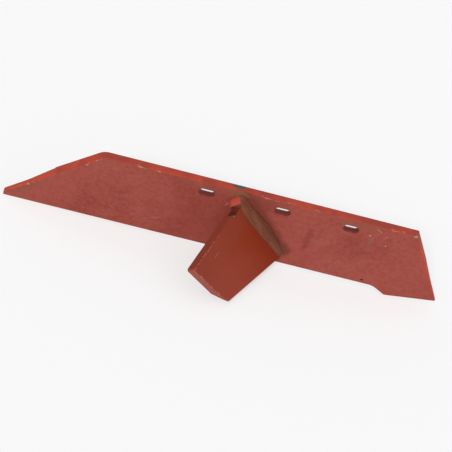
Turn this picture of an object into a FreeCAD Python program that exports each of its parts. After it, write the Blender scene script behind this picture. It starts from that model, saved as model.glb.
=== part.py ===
"""Plough share: a bevelled steel blade with a support bracket welded to its back.

All sizes are in millimetres and degrees. While it is being built, the share stands in
a working frame: X runs from the point to the heel, Y runs from the back face towards
the soil face, and Z is up from the level of the heel horn's tip. At the end the whole
share is moved so that its origin is the bottom centre of its bounding box.
"""
import FreeCAD, Part
import math
import os

Vector = FreeCAD.Vector

# ---- blade: overall ----
LENGTH = 600.0              # point to heel corner, along the cutting edge
WIDTH = 100.0               # cutting edge to top edge
THICKNESS = 12.0            # plate above the bevel

# ---- blade: point end ----
POINT_BLUNT = 5.0           # height of the cut-off point
POINT_RUN = 122.0           # how far the top corner lies back from the point
POINT_CORNER_RADIUS = 20.0
POINT_CUT_LEAN = 13.0       # the cut end face leans out towards the soil face

# ---- blade: heel end ----
HEEL_RUN = 59.0             # how far the top corner lies short of the heel corner
HEEL_CUT_LEAN = 8.0
HORN_DEPTH = 11.0           # the horn stands this far below the cutting edge
HORN_FROM_HEEL = 69.0       # horn tip to heel corner, along the length
HORN_RUN = 20.0             # length of the slope from the cutting edge to the horn tip
HORN_FILLET = 25.0

# ---- blade: bevel on the soil face ----
BEVEL_DROP = 45.0           # top edge to the start of the bevel
BEVEL_STEP = 1.0            # small step where the ground bevel starts
BEVEL_KNEE_DROP = 70.0      # top edge to the knee between the two bevels
KNEE_THICKNESS = 6.5
EDGE_THICKNESS = 5.0

# ---- bolt slots ----
SLOT_LENGTH = 22.0
SLOT_WIDTH = 11.0
SLOT_DROP = 16.5            # top edge to the slots' centre line
FIRST_SLOT_X = 259.0        # point to the first slot's centre
SLOT_PITCHES = (102.0, 93.5)

# ---- support bracket ----
BRACKET_THICKNESS = 13.0
ROOT_X = 306.3              # top of the bracket's root, measured from the point
ROOT_DROP = 11.6            # top of the root, measured down from the top edge
ROOT_LENGTH = 106.0
ROOT_ANGLE = 46.8           # root line to the blade's length
BRACKET_ANGLE = 64.0        # bracket to the blade's back face
UPPER_REACH = 131.0         # root to the upper outer corner
UPPER_SPLAY = 2.8           # the upper outer corner stands out past the root's top
BEND_ALONG = 50.5           # the outer edge bends at this place along the root
BEND_REACH = 121.5
BEND_MITRE = 11.0           # on the open face the bend lies this much further along
FOOT_REACH = 111.5          # root to the foot corner that stands on the ground
FOOT_MITRE = 5.0            # the open face's foot corner reaches this much further
FOOT_LIFT = 1.0             # foot above the line through the point and the horn tip
UPPER_CORNER_RADIUS = 3.0
FOOT_CORNER_RADIUS = 2.0
NOTCH_START = 9.5           # root to the notch in the upper edge
NOTCH_LENGTH = 21.0
NOTCH_DEPTH = 3.5
NOTCH_SLOPE = 2.0           # run of the notch's two sloping ends

# ---- weld bead round the bracket's root ----
WELD_HEIGHT = 8.5           # how far the bead climbs the bracket, square to the blade
WELD_OPEN_LEG = 10.0        # leg on the blade at the open side of the bracket
WELD_CLOSED_LEG = 8.0       # leg on the blade under the leaning side
WELD_END_LEG = 7.0          # leg on the blade round the top of the root
WELD_FINISH = 3.0           # the bead stops this far short of the root's lower end
WELD_TAPER = 0.7            # size at the lower end as a share of the size at the top
WELD_CROWN = 1.2            # how far the bead's face bulges
WELD_TOE = 0.4              # the bead's thickness where it ends on the bracket

# ---- derived places ----
EDGE_Z = HORN_DEPTH
TOP_Z = EDGE_Z + WIDTH
SLOT_Z = TOP_Z - SLOT_DROP
OVERRUN = 30.0              # cutting tools run this far past the part


def point(x, y, z):
    """Return a vector in the working frame."""
    return Vector(x, y, z)


def slot_centres():
    """Return the X places of the slot centres, from the point to the heel."""
    centres = [FIRST_SLOT_X]
    for pitch in SLOT_PITCHES:
        centres.append(centres[-1] + pitch)
    return centres


def rounded_corner(before, corner, after, radius):
    """Return where a rounded corner starts, its middle and where it ends."""
    to_before = (before - corner).normalize()
    to_after = (after - corner).normalize()
    half_angle = to_before.getAngle(to_after) / 2.0
    tangent = radius / math.tan(half_angle)
    middle_line = (to_before + to_after).normalize()
    centre = corner + middle_line * (radius / math.sin(half_angle))
    start = corner + to_before * tangent
    end = corner + to_after * tangent
    middle = centre - middle_line * radius
    return start, middle, end


def rounded_wire(corners):
    """Return a closed wire through (place, radius) corners; radius 0 keeps one sharp."""
    starts = []
    ends = []
    arcs = []
    count = len(corners)
    for index, (place, radius) in enumerate(corners):
        if radius == 0:
            starts.append(place)
            ends.append(place)
            arcs.append(None)
            continue
        before = corners[index - 1][0]
        after = corners[(index + 1) % count][0]
        start, middle, end = rounded_corner(before, place, after, radius)
        starts.append(start)
        ends.append(end)
        arcs.append(Part.Arc(start, middle, end).toShape())
    edges = []
    for index in range(count):
        if arcs[index] is not None:
            edges.append(arcs[index])
        following = (index + 1) % count
        edges.append(Part.LineSegment(ends[index], starts[following]).toShape())
    return Part.Wire(edges)


# ---- blade ----

def blade_outline(y):
    """Return the blade's outline at depth y, with the two cut ends leaning out."""
    point_angle = math.atan2(WIDTH - POINT_BLUNT, POINT_RUN)
    heel_angle = math.atan2(WIDTH, HEEL_RUN)
    point_flare = y * math.tan(math.radians(POINT_CUT_LEAN))
    heel_flare = y * math.tan(math.radians(HEEL_CUT_LEAN))
    heel_shift = heel_flare / math.sin(heel_angle)
    horn_x = LENGTH - HORN_FROM_HEEL
    corners = [
        (point(0, y, EDGE_Z), 0),
        (point(0, y, EDGE_Z + POINT_BLUNT + point_flare / math.cos(point_angle)), 0),
        (point(POINT_RUN - point_flare / math.sin(point_angle), y, TOP_Z), POINT_CORNER_RADIUS),
        (point(LENGTH - HEEL_RUN + heel_shift, y, TOP_Z), 0),
        (point(LENGTH + heel_shift, y, EDGE_Z), 0),
        (point(horn_x, y, 0), 0),
        (point(horn_x - HORN_RUN, y, EDGE_Z), HORN_FILLET),
    ]
    return rounded_wire(corners)


def blade_section():
    """Return the blade's cross-section, with the two-stage bevel, as a long prism."""
    start = -OVERRUN
    corners = [
        (point(start, 0, TOP_Z), 0),
        (point(start, THICKNESS, TOP_Z), 0),
        (point(start, THICKNESS, TOP_Z - BEVEL_DROP), 0),
        (point(start, THICKNESS - BEVEL_STEP, TOP_Z - BEVEL_DROP), 0),
        (point(start, KNEE_THICKNESS, TOP_Z - BEVEL_KNEE_DROP), 0),
        (point(start, EDGE_THICKNESS, 0), 0),
        (point(start, 0, 0), 0),
    ]
    face = Part.Face(rounded_wire(corners))
    return face.extrude(Vector(LENGTH + 2 * OVERRUN, 0, 0))


def slot_outline(centre_x, y):
    """Return the outline of a bolt slot with round ends, at depth y."""
    radius = SLOT_WIDTH / 2.0
    reach = SLOT_LENGTH / 2.0 - radius
    left = centre_x - reach
    right = centre_x + reach
    upper = Part.LineSegment(point(left, y, SLOT_Z + radius), point(right, y, SLOT_Z + radius))
    lower = Part.LineSegment(point(right, y, SLOT_Z - radius), point(left, y, SLOT_Z - radius))
    right_end = Part.Arc(point(right, y, SLOT_Z + radius), point(right + radius, y, SLOT_Z),
                         point(right, y, SLOT_Z - radius))
    left_end = Part.Arc(point(left, y, SLOT_Z - radius), point(left - radius, y, SLOT_Z),
                        point(left, y, SLOT_Z + radius))
    return Part.Wire([upper.toShape(), right_end.toShape(), lower.toShape(), left_end.toShape()])


def bolt_slot(centre_x):
    """Return the cutter of one bolt slot, which goes straight through the blade."""
    face = Part.Face(slot_outline(centre_x, -OVERRUN))
    return face.extrude(Vector(0, THICKNESS + 2 * OVERRUN, 0))


def make_share_blade():
    """Return the blade: leaning ends, two-stage bevel, heel horn and three bolt slots."""
    plan = Part.makeLoft([blade_outline(0), blade_outline(THICKNESS)], True, True)
    blade = plan.common(blade_section())
    for centre_x in slot_centres():
        blade = blade.cut(bolt_slot(centre_x))
    return blade


# ---- support bracket ----

def root_top():
    """Return the top of the root line, where the bracket's open face meets the blade."""
    return point(ROOT_X, 0, TOP_Z - ROOT_DROP)


def along_root():
    """Return the unit direction down the root line."""
    angle = math.radians(ROOT_ANGLE)
    return Vector(math.cos(angle), 0, -math.sin(angle))


def across_root():
    """Return the unit direction on the blade, square to the root, on the open side."""
    angle = math.radians(ROOT_ANGLE)
    return Vector(math.sin(angle), 0, math.cos(angle))


def up_bracket():
    """Return the unit direction up the bracket, square to the root."""
    angle = math.radians(BRACKET_ANGLE)
    return across_root() * -math.cos(angle) + Vector(0, -math.sin(angle), 0)


def through_bracket():
    """Return the unit direction from the bracket's open face through its thickness."""
    angle = math.radians(BRACKET_ANGLE)
    return across_root() * -math.sin(angle) + Vector(0, math.cos(angle), 0)


def on_bracket(along, reach):
    """Return the place on the bracket's open face at these distances from the root top."""
    return root_top() + along_root() * along + up_bracket() * reach


def foot_along():
    """Return how far along the root the foot lies, so that the share stands on it.

    The share stands on its point, its horn tip and the foot's far corner. The ground
    therefore falls from the point to the horn tip, and the foot ends just above it.
    """
    fall = HORN_DEPTH / (LENGTH - HORN_FROM_HEEL)
    corner = on_bracket(0, FOOT_REACH) + through_bracket() * BRACKET_THICKNESS
    ground = HORN_DEPTH - fall * corner.x
    closing = -along_root().z - fall * along_root().x
    return (corner.z - ground - FOOT_LIFT) / closing


def bracket_outline(depth, mitre):
    """Return the bracket's outline at a depth; mitre is 1 on the open face, 0 behind it."""
    outer_slope = (BEND_REACH - UPPER_REACH) / (BEND_ALONG + UPPER_SPLAY)
    foot_slope = (foot_along() - ROOT_LENGTH) / FOOT_REACH
    bend = (BEND_ALONG + BEND_MITRE * mitre, BEND_REACH + outer_slope * BEND_MITRE * mitre)
    foot_reach = FOOT_REACH + FOOT_MITRE * mitre
    foot = (ROOT_LENGTH + foot_slope * foot_reach, foot_reach)
    notch_end = NOTCH_START + NOTCH_LENGTH
    corners = [
        (0, -OVERRUN, 0),
        (0, NOTCH_START, 0),
        (NOTCH_DEPTH, NOTCH_START + NOTCH_SLOPE, 0),
        (NOTCH_DEPTH, notch_end - NOTCH_SLOPE, 0),
        (0, notch_end, 0),
        (-UPPER_SPLAY, UPPER_REACH, UPPER_CORNER_RADIUS),
        (bend[0], bend[1], 0),
        (foot[0], foot[1], FOOT_CORNER_RADIUS),
        (ROOT_LENGTH, 0, 0),
        (ROOT_LENGTH, -OVERRUN, 0),
    ]
    back = through_bracket() * depth
    return rounded_wire([(on_bracket(along, reach) + back, radius) for along, reach, radius in corners])


def make_support_bracket():
    """Return the bracket: a bent and mitred outer edge, a notch, and a root cut to the blade."""
    outlines = [bracket_outline(0, 1), bracket_outline(BRACKET_THICKNESS, 0)]
    plate = Part.makeLoft(outlines, True, True)
    block = Part.makeBox(LENGTH, 2 * OVERRUN, 2 * TOP_Z, point(0, 0, -TOP_Z / 2.0))
    return plate.cut(block)


# ---- weld bead ----

def weld_ring(height, open_leg, closed_leg, end_leg, corner_radius):
    """Return one level of the weld bead, as a closed wire parallel to the blade."""
    lean = -height / math.tan(math.radians(BRACKET_ANGLE))
    closed_face = lean - BRACKET_THICKNESS / math.sin(math.radians(BRACKET_ANGLE))
    finish = ROOT_LENGTH - WELD_FINISH

    def place(along, across):
        level = root_top() + Vector(0, -height, 0)
        return level + along_root() * along + across_root() * across

    corners = [
        (place(-end_leg, lean + open_leg), corner_radius),
        (place(finish, lean + open_leg * WELD_TAPER), 0),
        (place(finish, closed_face - closed_leg * WELD_TAPER), 0),
        (place(-end_leg, closed_face - closed_leg), corner_radius),
    ]
    return rounded_wire(corners)


def make_weld_bead(bracket):
    """Return the fillet weld: up one side of the root, round its top and down the other."""
    rings = []
    for level, bulge in ((0.0, 0.0), (0.5, WELD_CROWN), (1.0, WELD_TOE)):
        left = 1.0 - level
        end_leg = WELD_END_LEG * left + bulge
        rings.append(weld_ring(WELD_HEIGHT * level,
                               WELD_OPEN_LEG * left + bulge,
                               WELD_CLOSED_LEG * left + bulge,
                               end_leg,
                               end_leg))
    return Part.makeLoft(rings, True, True).cut(bracket)


def main():
    """Build the three pieces, move the origin to the bottom centre and write them."""
    os.makedirs("parts", exist_ok=True)
    bracket = make_support_bracket()
    pieces = {
        "share_blade": make_share_blade(),
        "support_bracket": bracket,
        "weld_bead": make_weld_bead(bracket),
    }
    box = Part.makeCompound(list(pieces.values())).optimalBoundingBox(False, False)
    to_origin = Vector(-box.Center.x, -box.Center.y, -box.ZMin)
    for name, shape in pieces.items():
        shape.translate(to_origin)
        shape.exportStep("parts/" + name + ".step")
        print(name, "solids", len(shape.Solids), "valid", shape.isValid(), "volume", round(shape.Volume, 1))
    print("moved by", to_origin.x, to_origin.y, to_origin.z)
    print("size", box.XLength, box.YLength, box.ZLength)


main()
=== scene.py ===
"""Plough share: its looks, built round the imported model.

The share is a bevelled steel blade in red primer. A support bracket is welded to its
back. Each piece is a dressed copy of its solid, apart from the weld, which is laid bead
by bead. All lengths are in metres, apart from the surface patterns and the places that
are named in millimetres, which are measured from the blade's point.
"""
import logging
import math
from dataclasses import dataclass
from enum import Enum
from functools import reduce
from typing import Callable, Iterable, Optional, Sequence, Union

import bmesh
import bpy
from mathutils import Matrix, Vector, noise


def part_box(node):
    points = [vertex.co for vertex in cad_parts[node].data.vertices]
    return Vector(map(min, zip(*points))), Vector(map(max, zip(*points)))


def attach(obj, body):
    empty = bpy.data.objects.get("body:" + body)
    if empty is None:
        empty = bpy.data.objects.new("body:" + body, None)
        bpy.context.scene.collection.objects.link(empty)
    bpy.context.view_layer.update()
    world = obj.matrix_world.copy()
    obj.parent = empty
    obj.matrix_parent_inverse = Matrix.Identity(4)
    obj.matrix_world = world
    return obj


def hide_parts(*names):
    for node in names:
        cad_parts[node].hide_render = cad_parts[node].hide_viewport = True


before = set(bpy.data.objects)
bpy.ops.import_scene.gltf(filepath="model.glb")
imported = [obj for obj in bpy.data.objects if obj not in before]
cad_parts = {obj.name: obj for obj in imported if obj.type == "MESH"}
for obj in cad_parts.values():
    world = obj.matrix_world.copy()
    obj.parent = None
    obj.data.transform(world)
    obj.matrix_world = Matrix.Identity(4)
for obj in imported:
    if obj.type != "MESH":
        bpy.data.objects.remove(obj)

MM = 0.001
BODY = "root"
SAME_PLACE = 0.000002
FLAT_BEND = math.radians(0.6)
SHARP_BEND = math.radians(14.0)
ROUNDING = 0.0009
WHITE = (1.0, 1.0, 1.0, 1.0)
LOG = logging.getLogger("plough_share")

Socket = bpy.types.NodeSocket
Paint = tuple[int, int, int]


def mixed_paint(paint: Paint) -> tuple[float, float, float, float]:
    """Turn a paint shade into the linear colour that a shader takes.

    Args:
        paint: Red, green and blue, from 0 to 255, as a paint chart gives them.

    Returns:
        The linear red, green and blue, and an alpha of 1.
    """
    linear = []
    for part in paint:
        share = part / 255.0
        linear.append(share / 12.92 if share <= 0.04045 else ((share + 0.055) / 1.055) ** 2.4)
    return (linear[0], linear[1], linear[2], 1.0)


# ---- where the share's parts lie ----

@dataclass(frozen=True)
class ShareLayout:
    """The places and directions on the share that its pieces and finishes use.

    Places given in millimetres run from the point along the length (x), from the back
    face towards the soil face (y) and up from the level of the horn tip (z).
    """

    origin: Vector
    length: float = 600.0
    edge_z: float = 11.0
    top_z: float = 111.0
    thickness: float = 12.0
    point_blunt: float = 5.0
    point_run: float = 122.0
    point_lean: float = math.radians(13.0)
    heel_run: float = 59.0
    heel_lean: float = math.radians(8.0)
    horn_x: float = 531.0
    slot_z: float = 94.5
    slot_xs: tuple[float, ...] = (259.0, 361.0, 454.5)
    slot_length: float = 22.0
    slot_width: float = 11.0
    root_x: float = 306.3
    root_drop: float = 11.6
    root_angle: float = math.radians(46.8)
    bracket_angle: float = math.radians(64.0)
    bracket_thickness: float = 13.0

    @classmethod
    def from_frame(cls) -> "ShareLayout":
        """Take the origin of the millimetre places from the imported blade."""
        low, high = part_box("share_blade")
        return cls(origin=Vector((low.x, low.y, high.z - cls.top_z * MM)))

    def at(self, x: float, y: float, z: float) -> Vector:
        """Return a place in the frame, from millimetres along, behind and up the blade."""
        return self.origin + Vector((x, y, z)) * MM

    @property
    def point_start(self) -> tuple[float, float, float]:
        """The lower end of the point's cut end, in millimetres."""
        return (0.0, 0.0, self.edge_z + self.point_blunt)

    @property
    def point_slope(self) -> tuple[float, float, float]:
        """The way up the point's cut end, in millimetres."""
        return (self.point_run, 0.0, self.top_z - self.edge_z - self.point_blunt)

    @property
    def root_top(self) -> Vector:
        """The top of the bracket's root, at its open face."""
        return self.at(self.root_x, 0.0, self.top_z - self.root_drop)

    @property
    def along_root(self) -> Vector:
        """The unit direction down the bracket's root."""
        return Vector((math.cos(self.root_angle), 0.0, -math.sin(self.root_angle)))

    @property
    def across_root(self) -> Vector:
        """The unit direction on the blade, square to the root, on the open side."""
        return Vector((math.sin(self.root_angle), 0.0, math.cos(self.root_angle)))

    @property
    def up_bracket(self) -> Vector:
        """The unit direction up the bracket, away from the blade."""
        out = Vector((0.0, -math.sin(self.bracket_angle), 0.0))
        return out - self.across_root * math.cos(self.bracket_angle)

    @property
    def through_bracket(self) -> Vector:
        """The unit direction from the bracket's open face through its thickness."""
        down = Vector((0.0, math.cos(self.bracket_angle), 0.0))
        return down - self.across_root * math.sin(self.bracket_angle)


# ---- shader maths ----

class Sum(Enum):
    """The sums that maths nodes do."""

    ADD = "ADD"
    SUBTRACT = "SUBTRACT"
    MULTIPLY = "MULTIPLY"
    DIVIDE = "DIVIDE"
    ABSOLUTE = "ABSOLUTE"
    SQRT = "SQRT"
    MINIMUM = "MINIMUM"
    MAXIMUM = "MAXIMUM"
    SCALE = "SCALE"
    LENGTH = "LENGTH"
    DOT_PRODUCT = "DOT_PRODUCT"
    CROSS_PRODUCT = "CROSS_PRODUCT"


class Shade:
    """A number that varies over a surface, which Python's own signs work on."""

    def __init__(self, bench: "Bench", socket: Socket) -> None:
        """Wrap a socket that gives a number."""
        self.bench = bench
        self.socket = socket

    def __add__(self, other: "Amount") -> "Shade":
        """Add."""
        return self.bench.maths(Sum.ADD, self, other)

    __radd__ = __add__

    def __sub__(self, other: "Amount") -> "Shade":
        """Take away."""
        return self.bench.maths(Sum.SUBTRACT, self, other)

    def __rsub__(self, other: "Amount") -> "Shade":
        """Take this away from the other."""
        return self.bench.maths(Sum.SUBTRACT, other, self)

    def __mul__(self, other: "Amount") -> "Shade":
        """Multiply."""
        return self.bench.maths(Sum.MULTIPLY, self, other)

    __rmul__ = __mul__

    def __abs__(self) -> "Shade":
        """Drop the sign."""
        return self.bench.maths(Sum.ABSOLUTE, self)


Amount = Union[Shade, int, float]
Colour = Union[Socket, Paint]


class Bench:
    """The bench that the nodes of one material, or of the room, are laid out on."""

    def __init__(self, owner: Union[bpy.types.Material, bpy.types.World]) -> None:
        """Clear the nodes of a material or a world.

        Args:
            owner: The material or the world.
        """
        owner.use_nodes = True
        self.tree = owner.node_tree
        self.tree.nodes.clear()

    def seen_directly(self) -> Shade:
        """Tell the rays that show the surroundings themselves from those that carry light.

        Returns:
            1 for rays seen directly, in a reflection or through glass, and 0 for the others.
        """
        rays = self.node("ShaderNodeLightPath").outputs
        seen = self.greater(Shade(self, rays["Is Camera Ray"]), Shade(self, rays["Is Glossy Ray"]))
        return self.greater(seen, Shade(self, rays["Is Transmission Ray"]))

    def node(self, kind: str, settings: Optional[dict] = None,
             sockets: Optional[dict] = None) -> bpy.types.Node:
        """Add one node.

        Args:
            kind: The node's type.
            settings: Its settings, which are set first.
            sockets: Values or links for its sockets, by name or number.

        Returns:
            The new node.
        """
        made = self.tree.nodes.new(kind)
        for name, value in (settings or {}).items():
            setattr(made, name, value)
        for name, value in (sockets or {}).items():
            socket = made.inputs[name]
            if isinstance(value, Shade):
                self.tree.links.new(value.socket, socket)
            elif isinstance(value, Socket):
                self.tree.links.new(value, socket)
            else:
                socket.default_value = value
        return made

    def maths(self, operation: Sum, *amounts: Amount) -> Shade:
        """Add a Math node.

        Args:
            operation: The sum it does.
            *amounts: Its one, two or three values.

        Returns:
            The result.
        """
        sockets = dict(enumerate(amounts))
        made = self.node("ShaderNodeMath", {"operation": operation.value}, sockets)
        return Shade(self, made.outputs[0])

    def vector_maths(self, operation: Sum, *vectors: object) -> bpy.types.Node:
        """Add a Vector Math node and return it."""
        sockets = dict(enumerate(vectors))
        return self.node("ShaderNodeVectorMath", {"operation": operation.value}, sockets)

    def arm(self, place: Socket, start: Iterable[float]) -> Socket:
        """Return the way from a fixed start to a place."""
        return self.vector_maths(Sum.SUBTRACT, place, tuple(start)).outputs[0]

    def place_mm(self, origin: Vector) -> Socket:
        """Measure the surface's place.

        Args:
            origin: Where to measure from, in the frame.

        Returns:
            The place in millimetres from the origin.
        """
        from_origin = self.arm(self.node("ShaderNodeTexCoord").outputs["Object"], origin)
        scaled = self.node("ShaderNodeVectorMath", {"operation": Sum.SCALE.value},
                           {0: from_origin, "Scale": 1.0 / MM})
        return scaled.outputs[0]

    def parts(self, vector: Socket) -> tuple[Shade, Shade, Shade]:
        """Return a vector's X, Y and Z."""
        x, y, z = self.node("ShaderNodeSeparateXYZ", None, {0: vector}).outputs
        return Shade(self, x), Shade(self, y), Shade(self, z)

    def joined(self, x: Amount, y: Amount, z: Amount) -> Socket:
        """Return one vector from three numbers."""
        return self.node("ShaderNodeCombineXYZ", None, {0: x, 1: y, 2: z}).outputs[0]

    def along(self, place: Socket, direction: Vector) -> Shade:
        """Return how far a place lies along a direction."""
        product = self.vector_maths(Sum.DOT_PRODUCT, place, tuple(direction))
        return Shade(self, product.outputs["Value"])

    def gap_to_line(self, place: Socket, start: Sequence[float],
                    direction: Sequence[float]) -> Shade:
        """Return the distance from a straight line.

        Args:
            place: The surface's place.
            start: A point on the line.
            direction: The line's direction, of any length.

        Returns:
            The distance, in the units of place.
        """
        unit = tuple(Vector(direction).normalized())
        turned = self.vector_maths(Sum.CROSS_PRODUCT, self.arm(place, start), unit).outputs[0]
        return Shade(self, self.vector_maths(Sum.LENGTH, turned).outputs["Value"])

    def blob(self, place: Socket, centre: Sequence[float],
             radii: Sequence[float], ragged: Optional[Shade] = None) -> Shade:
        """Return a soft patch: 1 in its middle, and 0 outside its radii.

        Args:
            place: The surface's place.
            centre: The patch's middle.
            radii: Its half sizes.
            ragged: A number from 0 to 1 that frets its rim.

        Returns:
            The patch, from 0 to 1.
        """
        shares = self.vector_maths(Sum.DIVIDE, self.arm(place, centre), tuple(radii)).outputs[0]
        size = Shade(self, self.vector_maths(Sum.LENGTH, shares).outputs["Value"])
        if ragged is not None:
            size = size + (ragged - 0.5) * 1.1
        return self.fade(size, 1.05, 0.65)

    def fade(self, amount: Amount, start: float, end: float) -> Shade:
        """Turn a number into a smooth step.

        Args:
            amount: The number.
            start: Where the step is 0.
            end: Where the step is 1, above or below start.

        Returns:
            The step, from 0 to 1.
        """
        made = self.node("ShaderNodeMapRange", {"interpolation_type": "SMOOTHSTEP"},
                         {"Value": amount, "From Min": start, "From Max": end})
        return Shade(self, made.outputs[0])

    def greater(self, first: Amount, second: Amount) -> Shade:
        """Return the greater of two numbers."""
        return self.maths(Sum.MAXIMUM, first, second)

    def least(self, amounts: Sequence[Shade]) -> Shade:
        """Return the least of several numbers."""
        return reduce(lambda first, second: self.maths(Sum.MINIMUM, first, second), amounts)

    def cloud(self, place: Socket, size: float, detail: float = 3.0,
              stretch: Sequence[float] = (1.0, 1.0, 1.0), seed: float = 0.0,
              rough: float = 0.55) -> Shade:
        """Return a cloudy pattern around 0.5.

        Args:
            place: The surface's place.
            size: How large its patches are, in the units of place.
            detail: How many finer layers it has.
            stretch: How much longer its patches are along each axis.
            seed: A number that moves the pattern.
            rough: How strong the finer layers are.

        Returns:
            The pattern.
        """
        scale = tuple(1.0 / part for part in stretch)
        shifted = self.node("ShaderNodeMapping", {"vector_type": "POINT"},
                            {"Vector": place, "Scale": scale,
                             "Location": (seed * 7.3, seed * 3.1, seed * 5.7)})
        made = self.node("ShaderNodeTexNoise", None,
                         {"Vector": shifted.outputs[0], "Scale": 1.0 / size, "Detail": detail,
                          "Roughness": rough})
        return Shade(self, made.outputs[0])

    def blend(self, share: Amount, first: Colour, second: Colour) -> Socket:
        """Mix two colours.

        Args:
            share: How much of the second colour shows, from 0 to 1.
            first: A colour or paint shade.
            second: A colour or paint shade.

        Returns:
            The mixed colour.
        """
        sockets: dict = {0: share}
        for index, colour in ((6, first), (7, second)):
            mixed = isinstance(colour, Socket)
            sockets[index] = colour if mixed else mixed_paint(colour)
        return self.node("ShaderNodeMix", {"data_type": "RGBA"}, sockets).outputs[2]

    def layered(self, base: Colour, *coats: tuple[Amount, Colour]) -> Socket:
        """Lay coats over a base, one after another.

        Args:
            base: The colour below.
            *coats: How much of each coat shows, from 0 to 1, and its colour.

        Returns:
            The colour with every coat on it.
        """
        for share, coat in coats:
            base = self.blend(share, base, coat)
        return base

    def finish(self, colour: Socket, roughness: Amount, height: Shade,
               depth: float, specular: float) -> None:
        """Feed one shader with the finished patterns.

        Args:
            colour: The base colour.
            roughness: The roughness.
            height: The relief, of about 0 to 1.
            depth: How deep a relief of 1 is, in metres.
            specular: The strength of the plain reflection.
        """
        bump = self.node("ShaderNodeBump", None,
                         {"Strength": 1.0, "Distance": depth, "Height": height})
        shader = self.node("ShaderNodeBsdfPrincipled", None,
                           {"Base Color": colour, "Roughness": roughness,
                            "Normal": bump.outputs[0], "Specular IOR Level": specular})
        self.node("ShaderNodeOutputMaterial", None, {"Surface": shader.outputs[0]})


# ---- finishes ----

@dataclass(frozen=True)
class Mark:
    """A scratch, rub or smear on the blade's back face, in millimetres."""

    x: float
    z: float
    length: float
    width: float
    turn: float
    tone: Paint
    strength: float


@dataclass(frozen=True)
class Stain:
    """A soft patch of another shade, in millimetres."""

    centre: tuple[float, float, float]
    radii: tuple[float, float, float]
    tone: Paint
    strength: float = 1.0


@dataclass(frozen=True)
class BladeGround:
    """The places and base patterns on the blade that its finish is worked out from."""

    bench: Bench
    layout: ShareLayout
    place: Socket
    x: Shade
    y: Shade
    z: Shade
    back: Shade
    fret: Shade
    fine: Shade

    @classmethod
    def lay_out(cls, bench: Bench, layout: ShareLayout) -> "BladeGround":
        """Lay out the nodes that the whole finish shares.

        Args:
            bench: The bench of the blade's material.
            layout: Where the share's parts lie.

        Returns:
            The place and its parts, where the back face is, and two clouds.
        """
        place = bench.place_mm(layout.origin)
        x, y, z = bench.parts(place)
        return cls(bench, layout, place, x, y, z, back=bench.fade(y, 1.2, 0.4),
                   fret=bench.cloud(place, 6.0, 4.0, seed=1.0),
                   fine=bench.cloud(place, 2.2, 3.0, seed=2.0))

    def past_point(self) -> Shade:
        """Return how far out past the point's cut end a place is: below 0 on the blade."""
        out = Vector((-self.layout.point_slope[2], 0.0, self.layout.point_slope[0])).normalized()
        return self.bench.along(self.bench.arm(self.place, self.layout.point_start), out)

    def patch(self, stain: Stain, ragged: Optional[Shade] = None) -> Shade:
        """Return how much of a stain shows, with its rim fretted by a cloud or soft."""
        return self.bench.blob(self.place, stain.centre, stain.radii, ragged) * stain.strength


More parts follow.
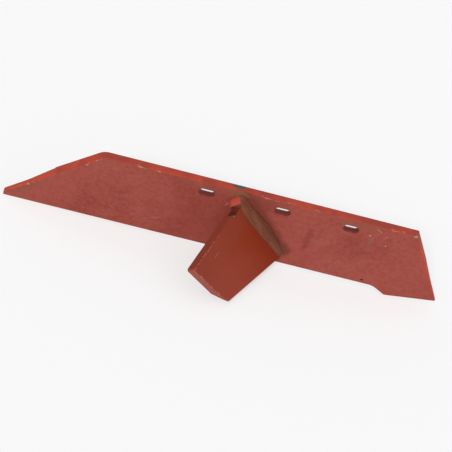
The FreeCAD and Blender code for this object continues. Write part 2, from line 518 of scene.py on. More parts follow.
@dataclass(frozen=True)
class BladePrimer:
    """Red oxide primer on the rolled blade: mottled and dusty on its faces.

    It is fresher and more orange along the cut edges, which are also painted lighter as a painted
    highlight. It is brown round the weld from welding, partly as painted shade by the bracket,
    carries a painted shadow of the bracket, has its slot walls painted redder and darker as
    painted shade, and is chipped along the upper rim.
    """

    face: Paint = (146, 65, 54)
    face_deep: Paint = (130, 51, 41)
    face_dusty: Paint = (154, 79, 69)
    dust: Paint = (170, 108, 96)
    # rim and rim_deep: a more orange primer on the cut faces, painted lighter as a painted
    # highlight.
    rim: Paint = (178, 66, 46)
    rim_deep: Paint = (154, 58, 43)
    # A redder, darker primer on the slot walls: painted shade and red bounce light.
    slot_wall_shade: Paint = (150, 50, 27)
    # A dark brown: weld tint, and painted shade in the corner by the bracket.
    weld_tint_and_shade: Paint = (98, 42, 30)
    grime: Paint = (124, 74, 54)
    chip: Paint = (196, 150, 130)
    relief: float = 0.00014
    specular: float = 0.2
    heat_length: float = 100.0
    scratch_width: float = 2.0
    warmed: Stain = Stain((328.0, 0.0, 99.0), (26.0, 4.0, 13.0), (116, 50, 36), 0.45)
    # A painted shadow of the bracket on the blade's back.
    bracket_shadow: Stain = Stain((268.0, 0.0, 58.0), (60.0, 8.0, 60.0), (130, 51, 41), 0.25)
    old_paint: tuple[Stain, ...] = (
        Stain((299.0, 0.0, 106.0), (16.0, 5.0, 7.0), (124, 74, 54), 0.6),
        Stain((298.0, 10.5, 112.0), (11.5, 7.0, 4.0), (72, 72, 60), 0.85),
        Stain((301.0, 11.0, 112.0), (7.0, 5.0, 4.0), (34, 88, 78)),
    )
    specks: tuple[Stain, ...] = (
        Stain((481.6, 0.0, 92.2), (1.5, 2.0, 1.5), (170, 152, 134), 0.7),
        Stain((506.2, 0.0, 81.6), (1.5, 2.0, 1.3), (170, 152, 134), 0.6),
        Stain((539.0, 1.0, 108.5), (2.8, 4.0, 2.8), (170, 152, 134), 0.5),
    )
    pit: Stain = Stain((494.0, 0.0, 16.4), (2.6, 3.0, 1.5), (48, 26, 20))
    marks: tuple[Mark, ...] = (
        Mark(405.0, 60.0, 46.0, 6.0, 1.48, (118, 47, 39), 0.5),
        Mark(418.0, 74.0, 26.0, 4.0, 1.5, (120, 48, 39), 0.35),
        Mark(426.0, 60.0, 26.0, 7.0, 0.6, (158, 80, 71), 0.4),
        Mark(486.0, 80.0, 36.0, 3.5, 1.62, (126, 92, 76), 0.3),
        Mark(204.0, 35.0, 14.0, 2.5, 0.3, (164, 96, 86), 0.4),
        Mark(491.5, 103.0, 11.0, 0.9, -0.42, (190, 130, 114), 0.5),
        Mark(503.0, 95.0, 9.0, 0.8, 0.9, (180, 120, 106), 0.4),
        Mark(510.0, 99.0, 8.0, 0.7, 0.6, (180, 120, 106), 0.3),
        Mark(288.5, 85.5, 8.0, 1.3, 1.15, (176, 126, 108), 0.55),
        Mark(547.0, 101.0, 6.0, 0.8, 0.2, (180, 120, 106), 0.3),
    )

    def make(self, layout: ShareLayout) -> bpy.types.Material:
        """Build the material.

        Args:
            layout: Where the share's parts lie.

        Returns:
            The blade's material.
        """
        material = bpy.data.materials.new("blade_primer")
        bench = Bench(material)
        ground = BladeGround.lay_out(bench, layout)
        # The cut faces get a more orange primer, painted lighter too: a painted highlight where
        # light falls on them.
        rim_patches = bench.fade(bench.cloud(ground.place, 25.0, 3.0, seed=5.0), 0.35, 0.65)
        rim_paint_and_highlight = bench.blend(rim_patches, self.rim_deep, self.rim)
        colour = bench.blend(self.rims(ground), self.faces(ground), rim_paint_and_highlight)
        colour = self.heated(ground, colour)
        colour = self.grimy(ground, colour)
        # The slot walls get a redder, darker primer: painted shade and red bounce light inside the
        # slots.
        colour = bench.blend(self.slot_walls(ground), colour, self.slot_wall_shade)
        colour, wear = self.worn(ground, colour)
        scale = bench.cloud(ground.place, 1.1, 2.0, seed=8.0)
        rolled = bench.cloud(ground.place, 9.0, 3.0, stretch=(3.0, 1.0, 1.0), seed=9.0)
        height = scale * 0.35 + rolled * 0.9 + ground.fine * 0.5 - wear * 0.6
        roughness = 0.58 + (ground.fine - 0.5) * 0.3 + (ground.fret - 0.5) * 0.2
        bench.finish(colour, roughness, height, self.relief, self.specular)
        return material

    def faces(self, ground: BladeGround) -> Socket:
        """Mottle the flat faces.

        Args:
            ground: The blade's places and base patterns.

        Returns:
            The colour of the faces.
        """
        bench, place = ground.bench, ground.place
        broad = bench.cloud(place, 75.0, 3.0, seed=3.0)
        patch = bench.cloud(place, 16.0, 5.0, stretch=(1.8, 1.0, 1.0), seed=4.0)
        streak = bench.cloud(place, 8.0, 3.0, stretch=(0.8, 1.0, 5.0), seed=6.0)
        mottle = bench.cloud(place, 5.0, 4.0, stretch=(1.3, 1.0, 1.0), seed=16.0, rough=0.65)
        dust_zone = bench.fade(bench.cloud(place, 45.0, 2.0, seed=7.0), 0.45, 0.62)
        dust = bench.fade(ground.fine, 0.55, 0.75) * (dust_zone * 0.35 + 0.1)
        return bench.layered(
            self.face,
            (bench.fade(broad, 0.4, 0.66) * 0.8, self.face_deep),
            (bench.fade(patch, 0.42, 0.75) * 0.45, self.face_dusty),
            (bench.fade(streak, 0.5, 0.8) * 0.3, self.face_deep),
            (bench.fade(mottle, 0.35, 0.68) * 0.4, self.face_dusty),
            (bench.fade(mottle, 0.52, 0.32) * 0.3, self.face_deep),
            (dust, self.dust),
        )

    def rims(self, ground: BladeGround) -> Shade:
        """Find the blade's narrow cut faces, with a little spread on the back.

        Args:
            ground: The blade's places and base patterns.

        Returns:
            1 on the cut faces, and 0 away from them.
        """
        bench, layout = ground.bench, ground.layout
        worn = (ground.fret - 0.5) * 3.0
        top = bench.fade(ground.z + worn * 0.5, layout.top_z - 2.6, layout.top_z - 0.5)
        point_gap = ground.past_point() - ground.y * math.tan(layout.point_lean)
        point_end = bench.fade(point_gap + worn * 0.3, -2.0, -0.4)
        heel_out = Vector((layout.top_z - layout.edge_z, 0.0, layout.heel_run)).normalized()
        from_heel = bench.arm(ground.place, (layout.length, 0.0, layout.edge_z))
        heel_gap = bench.along(from_heel, heel_out) - ground.y * math.tan(layout.heel_lean)
        heel_end = bench.fade(heel_gap + worn * 0.3, -1.6, -0.3)
        heel_spread = bench.fade(heel_gap, -7.0, -4.0) * 0.35
        ends = bench.greater(point_end, bench.greater(heel_end, heel_spread))
        return bench.greater(top, ends)

    def heated(self, ground: BladeGround, colour: Socket) -> Socket:
        """Brown the back beside the weld as weld tint with painted shade in the corner by the
        bracket, and lay the bracket's painted shadow round it.

        Args:
            ground: The blade's places and base patterns.
            colour: The colour so far.

        Returns:
            The colour with the weld tint, the painted shade and the painted shadow.
        """
        bench, layout = ground.bench, ground.layout
        from_root = bench.arm(ground.place, (layout.root_top - layout.origin) / MM)
        along = bench.along(from_root, layout.along_root)
        across = bench.along(from_root, layout.across_root)
        half = self.heat_length / 2.0
        past_end = bench.greater(abs(along - half) - half, 0.0)
        beside = bench.greater(abs(across + 2.0) - 11.0, 0.0)
        gap = bench.maths(Sum.SQRT, past_end * past_end + beside * beside)
        # The dark band along the weld is partly weld tint and partly painted shade in the corner
        # by the bracket.
        weld_tint_and_shade = bench.fade(gap + (ground.fret - 0.5) * 9.0, 13.0, 1.0) * ground.back
        return bench.layered(colour, (weld_tint_and_shade * 0.8, self.weld_tint_and_shade),
                             (ground.patch(self.warmed, ground.fret), self.warmed.tone),
                             (ground.patch(self.bracket_shadow), self.bracket_shadow.tone))

    def grimy(self, ground: BladeGround, colour: Socket) -> Socket:
        """Add the dusty band under the upper rim, and what is left of an older paint.

        Args:
            ground: The blade's places and base patterns.
            colour: The colour so far.

        Returns:
            The colour with the grime.
        """
        bench = ground.bench
        under = bench.greater(ground.z - ground.layout.top_z, ground.past_point())
        band = bench.fade(under, -15.0, -5.0) * bench.fade(under, -1.5, -4.0)
        cloud = bench.cloud(ground.place, 30.0, 3.0, stretch=(2.0, 1.0, 0.6), seed=12.0)
        patchy = bench.fade(cloud, 0.42, 0.62)
        old = ((ground.patch(stain, ground.fret), stain.tone) for stain in self.old_paint)
        return bench.layered(colour, (band * patchy * ground.back * 0.55, self.grime), *old)

    def slot_walls(self, ground: BladeGround) -> Shade:
        """Find the walls of the bolt slots, where their painted shade goes.

        Args:
            ground: The blade's places and base patterns.

        Returns:
            1 on the walls, and 0 away from them.
        """
        bench, layout = ground.bench, ground.layout
        radius = layout.slot_width / 2.0
        reach = layout.slot_length / 2.0 - radius
        up = ground.z - layout.slot_z
        gaps = []
        for slot_x in layout.slot_xs:
            over = bench.greater(abs(ground.x - slot_x) - reach, 0.0)
            gaps.append(bench.maths(Sum.SQRT, over * over + up * up) - radius)
        return bench.fade(bench.least(gaps), 0.9, 0.2) * bench.fade(ground.y, 0.2, 1.4)

    def worn(self, ground: BladeGround,
             colour: Socket) -> tuple[Socket, Shade]:
        """Add chips along the upper rim, scratches, specks and the pit.

        Args:
            ground: The blade's places and base patterns.
            colour: The colour so far.

        Returns:
            The colour with the wear, and how deep the wear goes.
        """
        bench = ground.bench
        chips = self.rim_chips(ground)
        colour = bench.blend(chips * 0.6, colour, self.chip)
        scratches: Amount = 0.0
        for mark in self.marks:
            stroke = self.stroke(ground, mark)
            colour = bench.blend(stroke * mark.strength, colour, mark.tone)
            if mark.width < self.scratch_width:
                scratches = bench.greater(stroke, scratches)
        specks: Amount = 0.0
        for speck in self.specks:
            shown = ground.patch(speck, ground.fine)
            colour = bench.blend(shown, colour, speck.tone)
            specks = bench.greater(shown, specks)
        pit = ground.patch(self.pit, ground.fine)
        colour = bench.blend(pit, colour, self.pit.tone)
        shallow = bench.greater(chips, scratches * 0.5)
        return colour, bench.greater(shallow, bench.greater(specks, pit * 2.0))

    def rim_chips(self, ground: BladeGround) -> Shade:
        """Chip the upper rim and the point's rim.

        Args:
            ground: The blade's places and base patterns.

        Returns:
            1 on the chips, and 0 away from them.
        """
        bench, layout, place = ground.bench, ground.layout, ground.place
        gap = bench.least([
            bench.gap_to_line(place, (0.0, 0.0, layout.top_z), (1.0, 0.0, 0.0)),
            bench.gap_to_line(place, layout.point_start, layout.point_slope),
        ])
        nicks = bench.cloud(place, 3.0, 2.0, stretch=(2.2, 1.0, 1.0), seed=14.0)
        zone = bench.fade(bench.cloud(place, 38.0, 2.0, seed=15.0), 0.45, 0.6)
        return bench.fade(gap, 3.4, 1.6) * bench.fade(nicks, 0.6, 0.66) * zone

    def stroke(self, ground: BladeGround, mark: Mark) -> Shade:
        """Lay one mark on the back face.

        Args:
            ground: The blade's places and base patterns.
            mark: The mark.

        Returns:
            1 along the mark's middle, and 0 away from it.
        """
        bench = ground.bench
        cosine, sine = math.cos(mark.turn), math.sin(mark.turn)
        run = (ground.x - mark.x) * cosine + (ground.z - mark.z) * sine
        side = (ground.z - mark.z) * cosine - (ground.x - mark.x) * sine
        ends = bench.fade(abs(run), mark.length / 2.0, mark.length / 4.0) * ground.back
        ragged = (ground.fret - 0.5) * mark.width * 1.2 + (ground.fine - 0.5) * 1.2
        return ends * bench.fade(abs(side + ragged), mark.width, mark.width * 0.3)


@dataclass(frozen=True)
class BracketPrimer:
    """Red oxide primer on the flame-cut bracket, deeper and more orange than the blade's, with
    painted shade and red bounce light near the blade, a painted highlight on its end face, and
    painted shade on its outer side and in its notch.
    """

    face: Paint = (144, 59, 42)
    # face_deep and toe are painted shade with red bounce light near the blade; rim is a painted
    # highlight on the end face; side is painted shade on the outer side.
    face_deep: Paint = (134, 45, 19)
    face_brown: Paint = (136, 55, 36)
    streaks: Paint = (146, 58, 34)
    toe: Paint = (122, 36, 16)
    dust: Paint = (170, 104, 90)
    rim: Paint = (150, 74, 60)
    side: Paint = (128, 54, 42)
    # Painted shade in the notch recess.
    notch_shade_paint: Paint = (60, 26, 15)
    chip: Paint = (196, 140, 126)
    bare: Paint = (160, 160, 136)
    relief: float = 0.00014
    specular: float = 0.15
    above_notch: tuple[float, float] = (0.0, 30.5)
    upper: tuple[float, float] = (-2.8, 131.0)
    open_bend: tuple[float, float] = (61.5, 119.5)
    open_foot: tuple[float, float] = (70.3, 116.5)

    def make(self, layout: ShareLayout) -> bpy.types.Material:
        """Build the material.

        Args:
            layout: Where the share's parts lie.

        Returns:
            The bracket's material.
        """
        material = bpy.data.materials.new("bracket_primer")
        bench = Bench(material)
        from_root = bench.place_mm(layout.root_top)
        along = bench.along(from_root, layout.along_root)
        reach = bench.along(from_root, layout.up_bracket)
        depth = bench.along(from_root, layout.through_bracket)
        place = bench.joined(along, reach, depth)
        fine = bench.cloud(place, 2.0, 3.0, seed=21.0)
        fret = bench.cloud(place, 7.0, 4.0, seed=22.0)
        streak = bench.cloud(place, 10.0, 3.0, stretch=(1.0, 5.0, 1.0), seed=23.0)
        broad = bench.cloud(place, 45.0, 3.0, seed=24.0)
        # Painted shade and red bounce light on the open face, deepest near the blade.
        near = bench.fade(reach + (broad - 0.5) * 60.0, 85.0, 25.0)
        left = bench.fade(along + (streak - 0.5) * 30.0, 45.0, 12.0)
        # Painted shade in the corner where the bracket meets the blade.
        toe = bench.fade(reach + (fret - 0.5) * 8.0, 28.0, 10.0)
        facing = bench.node("ShaderNodeTexCoord").outputs["Normal"]
        ragged = (fret - 0.5) * 0.3
        # A painted highlight on the end face, which faces away from the blade.
        end = bench.fade(bench.along(facing, layout.up_bracket) + ragged, 0.45, 0.75)
        # Painted shade on the outer side face.
        side = bench.fade(bench.along(facing, -layout.along_root) + ragged, 0.45, 0.75)
        scrape = bench.fade(abs(along - 14.0 + (fine - 0.5) * 1.5), 0.9, 0.3)
        ends = bench.fade(abs(reach - 88.0), 6.0, 3.0)
        scrape = scrape * ends * bench.fade(depth, 1.0, 0.3)
        chips = self.chips(bench, place, reach)
        # Of the coats below, near and toe are painted shade with red bounce light, end a painted
        # highlight, side and the notch coat painted shade.
        colour = bench.layered(
            self.face,
            (near, self.face_deep),
            (left * 0.75, self.face_brown),
            (bench.fade(streak, 0.5, 0.72) * 0.35, self.streaks),
            (toe * 0.45, self.toe),
            (bench.fade(fine, 0.58, 0.74) * 0.2, self.dust),
            (end * 0.85, self.rim),
            (side * 0.7, self.side),
            # Painted shade in the notch recess.
            (self.painted_notch_shade(bench, along, reach, fret), self.notch_shade_paint),
            (bench.blob(place, (3.0, 29.0, 2.0), (2.6, 2.4, 3.0), fine) * 0.7, self.bare),
            (bench.greater(chips * 0.8, scrape * 0.45) * 0.6, self.chip),
        )
        scale = bench.cloud(place, 1.2, 2.0, seed=28.0)
        cut = bench.cloud(place, 2.0, 2.0, stretch=(1.0, 1.0, 9.0), seed=29.0)
        on_cut = bench.greater(side, end)
        height = scale * 0.4 + fine * 0.5 + streak * 0.7 + cut * on_cut * 1.6 - chips * 0.5
        roughness = 0.56 + (fine - 0.5) * 0.3 + (streak - 0.5) * 0.2
        bench.finish(colour, roughness, height, self.relief, self.specular)
        return material

    def painted_notch_shade(self, bench: Bench, along: Shade, reach: Shade, fret: Shade) -> Shade:
        """Find the painted shade in the notch recess, which is darker towards its outer end.

        Args:
            bench: The bench of the bracket's material.
            along: The distance down the root.
            reach: The distance up the bracket.
            fret: A cloud that frets the rim of the painted shade.

        Returns:
            How much of the painted shade shows.
        """
        ends = bench.fade(reach, 8.0, 10.5) * bench.fade(reach, 32.0, 29.5)
        thickness = bench.fade(reach + (fret - 0.5) * 6.0, 16.0, 24.0) * 0.45 + 0.45
        return bench.fade(along, 5.0, 3.2) * ends * thickness

    def chips(self, bench: Bench, place: Socket, reach: Shade) -> Shade:
        """Chip the outer rims of the bracket's open face.

        Args:
            bench: The bench of the bracket's material.
            place: The place along, up and through the bracket.
            reach: The distance up the bracket.

        Returns:
            1 on the chips, and 0 away from them.
        """
        corners = (self.above_notch, self.upper, self.open_bend, self.open_foot)
        gaps = []
        for first, second in zip(corners, corners[1:]):
            run = (second[0] - first[0], second[1] - first[1], 0.0)
            gaps.append(bench.gap_to_line(place, (first[0], first[1], 0.0), run))
        nicks = bench.fade(bench.cloud(place, 3.2, 2.0, seed=25.0), 0.52, 0.6)
        return bench.fade(bench.least(gaps), 2.0, 0.9) * nicks * bench.fade(reach, 62.0, 84.0)


@dataclass(frozen=True)
class WeldPrimer:
    """A weld bead browned in the welding, with a thin coat of primer on its end, painted lighter
    there as a painted highlight.
    """

    bead: Paint = (106, 56, 38)
    bead_light: Paint = (116, 70, 48)
    bead_deep: Paint = (84, 34, 22)
    # Primer on the end facet, painted lighter as a painted highlight.
    primer_and_highlight: Paint = (172, 70, 52)
    closed: Paint = (124, 50, 36)
    relief: float = 0.0002
    specular: float = 0.15

    def make(self, layout: ShareLayout) -> bpy.types.Material:
        """Build the material.

        Args:
            layout: Where the share's parts lie.

        Returns:
            The weld's material.
        """
        material = bpy.data.materials.new("weld_primer")
        bench = Bench(material)
        from_root = bench.place_mm(layout.root_top)
        along = bench.along(from_root, layout.along_root)
        across = bench.along(from_root, layout.across_root)
        rise = bench.along(from_root, Vector((0.0, -1.0, 0.0)))
        laid = bench.joined(along, across, rise)
        fine = bench.cloud(from_root, 1.6, 3.0, seed=31.0)
        patch = bench.cloud(laid, 7.0, 3.0, stretch=(3.0, 1.0, 1.0), seed=32.0)
        toe = bench.fade(across + (patch - 0.5) * 4.0, 3.0, 8.0)
        # The end facet's primer is painted lighter as a painted highlight.
        primer_and_highlight = bench.fade(along + (patch - 0.5) * 3.0, 1.5, -0.5)
        colour = bench.layered(
            self.bead,
            (bench.fade(patch, 0.42, 0.64) * 0.8, self.bead_light),
            (toe * 0.55, self.bead_deep),
            (bench.fade(fine, 0.55, 0.7) * 0.35, self.bead_deep),
            (primer_and_highlight * bench.fade(across, -0.5, -3.5) * 0.9, self.primer_and_highlight),
            (bench.fade(across, -12.0, -17.0) * 0.6, self.closed),
        )
        roughness = 0.6 + (fine - 0.5) * 0.3
        height = fine * 0.8 + bench.cloud(from_root, 0.8, 2.0, seed=33.0) * 0.5
        bench.finish(colour, roughness, height, self.relief, self.specular)
        return material


# ---- pieces ----

def deck_piece(name: str, shape: bmesh.types.BMesh,
               material: bpy.types.Material) -> bpy.types.Object:
    """Turn a bmesh into a smooth piece in the scene.

    Args:
        name: The piece's name.
        shape: Its mesh, which is freed.
        material: Its material.

    Returns:
        The new piece, at the frame's origin.
    """
    mesh = bpy.data.meshes.new(name)
    shape.to_mesh(mesh)
    shape.free()
    for face in mesh.polygons:
        face.use_smooth = True
    mesh.materials.append(material)
    piece = bpy.data.objects.new(name, mesh)
    bpy.context.scene.collection.objects.link(piece)
    return piece


def rounded_copy(node: str,
                 left_sharp: Optional[Callable[[Vector], bool]] = None) -> bmesh.types.BMesh:
    """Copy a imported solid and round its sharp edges, inside the solid's own box.

    Args:
        node: The solid's name.
        left_sharp: Tells which edges aren't rounded, by their middle.

    Returns:
        The rounded copy.
    """
    shape = bmesh.new()
    shape.from_mesh(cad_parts[node].data)
    bmesh.ops.remove_doubles(shape, verts=shape.verts, dist=SAME_PLACE)
    bmesh.ops.dissolve_limit(shape, angle_limit=FLAT_BEND, verts=shape.verts, edges=shape.edges)
    sharp = [edge for edge in shape.edges
             if edge.is_manifold and edge.calc_face_angle() > SHARP_BEND]
    if left_sharp is not None:
        sharp = [edge for edge in sharp
                 if not left_sharp((edge.verts[0].co + edge.verts[1].co) / 2.0)]
    bmesh.ops.bevel(shape, geom=sharp, offset=ROUNDING, offset_type="OFFSET", segments=3,
                    profile=0.5, affect="EDGES", clamp_overlap=True, material=-1,
                    loop_slide=True)
    low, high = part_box(node)
    for vert in shape.verts:
        vert.co = Vector(min(max(part, least), most)
                         for part, least, most in zip(vert.co, low, high))
    return shape


def flatten(piece: bpy.types.Object) -> None:
    """Keep a piece's flat faces flat between their rounded edges."""
    piece.modifiers.new("flat_faces", "WEIGHTED_NORMAL").weight = 100


@dataclass
class Blade:
    """The long bevelled blade."""

    layout: ShareLayout

    def build(self) -> bpy.types.Object:
        """Build and dress the blade.

        Returns:
            The blade's piece.
        """
        shape = rounded_copy("share_blade", self.at_far_rim)
        piece = deck_piece("dressed_blade", shape, BladePrimer().make(self.layout))
        flatten(piece)
        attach(piece, BODY)
        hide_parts("share_blade")
        return piece

    def at_far_rim(self, middle: Vector) -> bool:
        """Tell whether an edge belongs to a bolt slot's rim on the soil face.

        Args:
            middle: The edge's middle, in the frame.

        Returns:
            Whether it does.
        """
        layout = self.layout
        x, y, z = (middle - layout.origin) / MM
        if y < layout.thickness - 0.5 or abs(z - layout.slot_z) > layout.slot_width:
            return False
        return any(abs(x - slot_x) < layout.slot_length for slot_x in layout.slot_xs)


@dataclass
class Bracket:
    """The support bracket that stands on the blade's back."""

    layout: ShareLayout

    def build(self) -> bpy.types.Object:
        """Build and dress the bracket.

        Returns:
            The bracket's piece.
        """
        shape = rounded_copy("support_bracket")
        piece = deck_piece("dressed_bracket", shape, BracketPrimer().make(self.layout))
        flatten(piece)
        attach(piece, BODY)
        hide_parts("support_bracket")
        return piece


@dataclass(frozen=True)
class WeldSection:
    """One section of the bead: its inner corner, its way out and its two legs."""

    run: float
    corner: Vector
    out: Vector
    leg: float
    climb: float


@dataclass
class WeldBead:
    """The rippled fillet weld round the bracket's root, in millimetres.

    It runs up the open side, round the top of the root and down the closed side. The legs
    lie on the blade and the climbs on the bracket, at stations down the root.
    """

    layout: ShareLayout
    finish: float = 103.0
    stations: tuple[float, ...] = (0.0, 15.0, 30.0, 55.0, 78.0, 103.0)
    open_legs: tuple[float, ...] = (5.0, 5.6, 7.5, 11.2, 10.2, 6.0)
    open_climbs: tuple[float, ...] = (9.5, 14.0, 12.5, 10.0, 7.0, 4.0)
    closed_legs: tuple[float, ...] = (6.5, 7.0, 8.0, 8.5, 8.0, 6.0)
    closed_climbs: tuple[float, ...] = (9.0, 9.0, 9.5, 9.5, 8.5, 6.5)
    end_leg: float = 6.5
    end_climb: float = 9.3
    full_leg: float = 8.0
    crown: float = 1.1
    lumps: float = 0.15
    sunk_depth: float = 0.4
    ripple_pitch: float = 3.6
    ripple_height: float = 0.65
    chevron: float = 1.2
    wander: float = 0.45
    corner_run: float = 12.0
    tail_run: float = 5.0
    tail_size: float = 0.35
    rings: int = 520
    ring_points: int = 24
    hidden_points: int = 6

    def build(self) -> bpy.types.Object:
        """Build and dress the weld.

        Returns:
            The weld's piece.
        """
        shape = bmesh.new()
        bmesh.ops.create_cone(shape, cap_ends=True, cap_tris=False, segments=self.ring_points,
                              radius1=1.0, radius2=1.0, depth=1.0)
        tall = [edge for edge in shape.edges
                if abs(edge.verts[0].co.z - edge.verts[1].co.z) > 0.5]
        bmesh.ops.subdivide_edges(shape, edges=tall, cuts=self.rings, use_grid_fill=True)
        for vert in shape.verts:
            vert.co = self.laid(vert.co)
        bmesh.ops.recalc_face_normals(shape, faces=shape.faces)
        piece = deck_piece("rippled_weld", shape, WeldPrimer().make(self.layout))
        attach(piece, BODY)
        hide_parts("weld_bead")
        return piece

    def laid(self, on_tube: Vector) -> Vector:
        """Move one point of a plain tube to its place on the bead.

        Args:
            on_tube: The point on the tube, of radius 1 and height 1.

        Returns:
            Its place in the frame.
        """
        section = self.section(on_tube.z + 0.5)
        turn = math.atan2(on_tube.y, on_tube.x) % (2.0 * math.pi)
        index = round(turn / (2.0 * math.pi) * self.ring_points) % self.ring_points
        out, up = section.out, self.layout.up_bracket
        shown = self.ring_points - self.hidden_points
        if index >= shown:
            part = (index - shown + 1) / (self.hidden_points + 1)
            sunk = 1.0 - abs(part * 2.0 - 1.0)
            toe = out * section.leg if part > 0.5 else up * section.climb
            below = (out + up).normalized() * self.sunk_depth * sunk
            return section.corner + (toe * (1.0 - sunk) - below) * MM
        part = index / (shown - 1)
        size = min(1.0, min(section.leg, section.climb) / self.full_leg)
        lift = (out + up).normalized() * self.lift(section.run, part) * size
        place = out * section.leg * (1.0 - part) + up * section.climb * part + lift
        return section.corner + place * MM

    def lift(self, run: float, part: float) -> float:
        """Return how far the bead's face rises from the straight line between its toes.

        Args:
            run: The distance along the bead.
            part: The share of the way from the blade to the bracket.

        Returns:
            The rise.
        """
        bulge = math.sin(math.pi * part)
        sway = 0.25 * noise.noise(Vector((run * 0.08, 3.0, 0.0)))
        wave = (run / self.ripple_pitch + self.chevron * (part - 0.5) ** 2 * 4.0 + sway) % 1.0
        ripple = math.sin(math.pi * wave) ** 0.7 * bulge ** 0.6 - 0.5 * bulge ** 0.6
        lump = noise.noise(Vector((run * 0.11, part * 2.0, 7.0))) * bulge
        return self.crown * bulge + self.ripple_height * ripple + self.lumps * lump

    def section(self, share: float) -> WeldSection:
        """Work out the bead's section at a share of its length.

        Args:
            share: From 0, at the lower end of the open side, to 1.

        Returns:
            The section.
        """
        layout = self.layout
        width = layout.bracket_thickness / math.sin(layout.bracket_angle)
        stops = (self.finish, self.corner_run, width, self.corner_run, self.finish)
        total = sum(stops)
        run = share * total
        stage = 0
        rest = run
        while stage < 4 and rest > stops[stage]:
            rest -= stops[stage]
            stage += 1
        part = rest / stops[stage]
        across, end = layout.across_root, -layout.along_root
        corner = layout.root_top - (across * width * MM if stage > 2 else Vector())
        legs, climbs = ((self.open_legs, self.open_climbs) if stage < 2
                        else (self.closed_legs, self.closed_climbs))
        if stage in (0, 4):
            down = self.finish - rest if stage == 0 else rest
            corner -= end * down * MM
            out = across if stage == 0 else -across
            leg, climb = self.at_station(legs, down), self.at_station(climbs, down)
        else:
            near = {1: 1.0 - part, 2: 0.0, 3: part}[stage]
            out = self.turned(end, across if stage == 1 else -across, near)
            corner -= across * width * MM * part if stage == 2 else Vector()
            leg = self.end_leg + (legs[0] - self.end_leg) * near
            climb = self.end_climb + (climbs[0] - self.end_climb) * near
        tail = 1.0 - min(1.0, min(run, total - run) / self.tail_run)
        taper = self.tail_size + (1.0 - self.tail_size) * math.sqrt(max(0.0, 1.0 - tail ** 2))
        leg += self.wander * noise.noise(Vector((run * 0.07, 11.0, 0.0)))
        climb += self.wander * noise.noise(Vector((run * 0.09, 23.0, 0.0)))
        return WeldSection(run, corner, out, leg * taper, climb * taper)

    def at_station(self, sizes: Sequence[float], down: float) -> float:
        """Ease a size between its stations.

        Args:
            sizes: The size at each station.
            down: The distance down the root.

        Returns:
            The size there.
        """
        for index in range(len(self.stations) - 1):
            low, high = self.stations[index], self.stations[index + 1]
            if down <= high:
                part = max(0.0, (down - low) / (high - low))
                part = part * part * (3.0 - 2.0 * part)
                return sizes[index] + (sizes[index + 1] - sizes[index]) * part
        return sizes[-1]

    @staticmethod
    def turned(first: Vector, second: Vector, part: float) -> Vector:
        """Return a direction part of the way round a square corner."""
        angle = part * math.pi / 2.0
        return first * math.cos(angle) + second * math.sin(angle)


# ---- stage ----

@dataclass(frozen=True)
class StudioFloor:
    """The pale floor that the share stands on: its point, horn tip and foot touch it."""

    layout: ShareLayout
    half_size: float = 4.0
    clearance: float = 0.0001
    own_light: float = 0.5

    def build(self) -> bpy.types.Object:
        """Build the floor, tilted as little as the three places that touch it ask.

        Returns:
            The floor.
        """
        point = self.layout.at(0.0, 0.0, self.layout.edge_z)
        horn = self.layout.at(self.layout.horn_x, 0.0, 0.0)
        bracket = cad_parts["support_bracket"].data
        foot = min((vert.co for vert in bracket.vertices), key=lambda place: place.z)
        normal = (horn - point).cross(foot - point).normalized()
        if normal.z < 0.0:
            normal = -normal
        shape = bmesh.new()
        bmesh.ops.create_grid(shape, x_segments=1, y_segments=1, size=self.half_size)
        turn = Vector((0.0, 0.0, 1.0)).rotation_difference(normal).to_matrix().to_4x4()
        shift = Matrix.Translation(point - normal * self.clearance)
        bmesh.ops.transform(shape, matrix=shift @ turn, verts=shape.verts)
        floor = deck_piece("studio_floor", shape, self.material())
        return floor

    def material(self) -> bpy.types.Material:
        """Build a pale matt material that looks white to the camera and keeps shadows.

        Returns:
            The floor's material.
        """
        material = bpy.data.materials.new("pale_floor")
        bench = Bench(material)
        matt = bench.node("ShaderNodeBsdfDiffuse", None, {"Color": WHITE})
        white = bench.node("ShaderNodeEmission", None, {"Color": WHITE, "Strength": 1.0})
        mixed = bench.node("ShaderNodeMixShader", None,
                           {0: bench.seen_directly() * self.own_light,
                            1: matt.outputs[0], 2: white.outputs[0]})
        bench.node("ShaderNodeOutputMaterial", None, {"Surface": mixed.outputs[0]})
        return material


@dataclass(frozen=True)
class Lamp:
    """A distant lamp: the way to it, its strength and the angle that it fills."""

    name: str
    towards: tuple[float, float, float]
    strength: float
    softness: float

    def build(self) -> None:
        """Add the lamp."""
        data = bpy.data.lights.new(self.name, "SUN")
        data.energy = self.strength
        data.angle = self.softness
        lamp = bpy.data.objects.new(self.name, data)
        lamp.rotation_euler = Vector(self.towards).to_track_quat("Z", "Y").to_euler()
        bpy.context.scene.collection.objects.link(lamp)


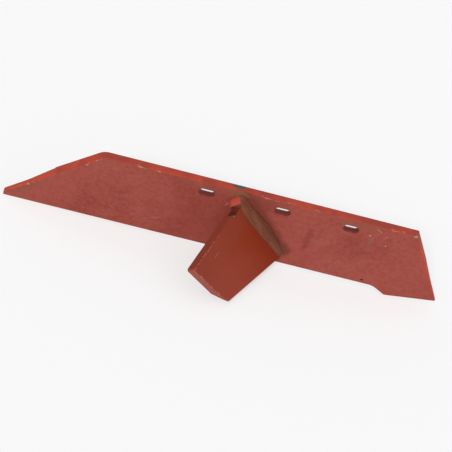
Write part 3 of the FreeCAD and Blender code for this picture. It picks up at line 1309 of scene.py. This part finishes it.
@dataclass(frozen=True)
class StudioLight:
    """A soft key from the front left, a weak fill and an even white room."""

    key: Lamp = Lamp("key_light", (-0.25, -0.76, 0.6), 1.9, math.radians(14.0))
    fill: Lamp = Lamp("fill_light", (0.6, -0.5, 0.8), 0.25, math.radians(60.0))
    room_light: float = 0.48

    def build(self) -> None:
        """Add the lamps and the room."""
        self.key.build()
        self.fill.build()
        self.room()

    def room(self) -> None:
        """Light the share evenly, and show the room as white."""
        world = bpy.data.worlds.new("white_room")
        bench = Bench(world)
        strength = bench.seen_directly() * (1.0 - self.room_light) + self.room_light
        background = bench.node("ShaderNodeBackground", None,
                                {"Color": WHITE, "Strength": strength})
        bench.node("ShaderNodeOutputWorld", None, {"Surface": background.outputs[0]})
        bpy.context.scene.world = world


@dataclass(frozen=True)
class StudioCamera:
    """The camera: it looks down at the share's back from in front, a little rolled."""

    layout: ShareLayout
    target: tuple[float, float, float] = (295.9, 0.0, 49.5)
    distance: float = 1.6
    heading: float = math.radians(6.0)
    height_angle: float = math.radians(38.0)
    roll: float = math.radians(17.73)
    focal_length: float = 96.17
    sensor: float = 36.0
    far_clip: float = 50.0

    def build(self) -> bpy.types.Object:
        """Place the camera and make it the scene's own.

        Returns:
            The camera.
        """
        level = math.cos(self.height_angle)
        forward = Vector((math.sin(self.heading) * level, math.cos(self.heading) * level,
                          -math.sin(self.height_angle)))
        right = Vector((math.cos(self.heading), -math.sin(self.heading), 0.0))
        up = right.cross(forward)
        rolled_right = right * math.cos(self.roll) + up * math.sin(self.roll)
        rolled_up = up * math.cos(self.roll) - right * math.sin(self.roll)
        turn = Matrix((rolled_right, rolled_up, -forward)).transposed().to_4x4()
        data = bpy.data.cameras.new("studio_camera")
        data.sensor_width = self.sensor
        data.lens = self.focal_length
        data.clip_end = self.far_clip
        camera = bpy.data.objects.new("studio_camera", data)
        stand = self.layout.at(*self.target) - forward * self.distance
        camera.matrix_world = Matrix.Translation(stand) @ turn
        bpy.context.scene.collection.objects.link(camera)
        bpy.context.scene.camera = camera
        return camera


def main() -> None:
    """Build the share's pieces and its studio in order, and log each piece."""
    logging.basicConfig(level=logging.INFO, format="%(message)s")
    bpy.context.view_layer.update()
    bpy.context.scene.view_settings.view_transform = "Standard"
    layout = ShareLayout.from_frame()
    for piece in (Blade(layout).build(), Bracket(layout).build(), WeldBead(layout).build()):
        LOG.info("%s: %d faces", piece.name, len(piece.data.polygons))
    StudioFloor(layout).build()
    StudioLight().build()
    StudioCamera(layout).build()


if __name__ == "__main__":
    main()
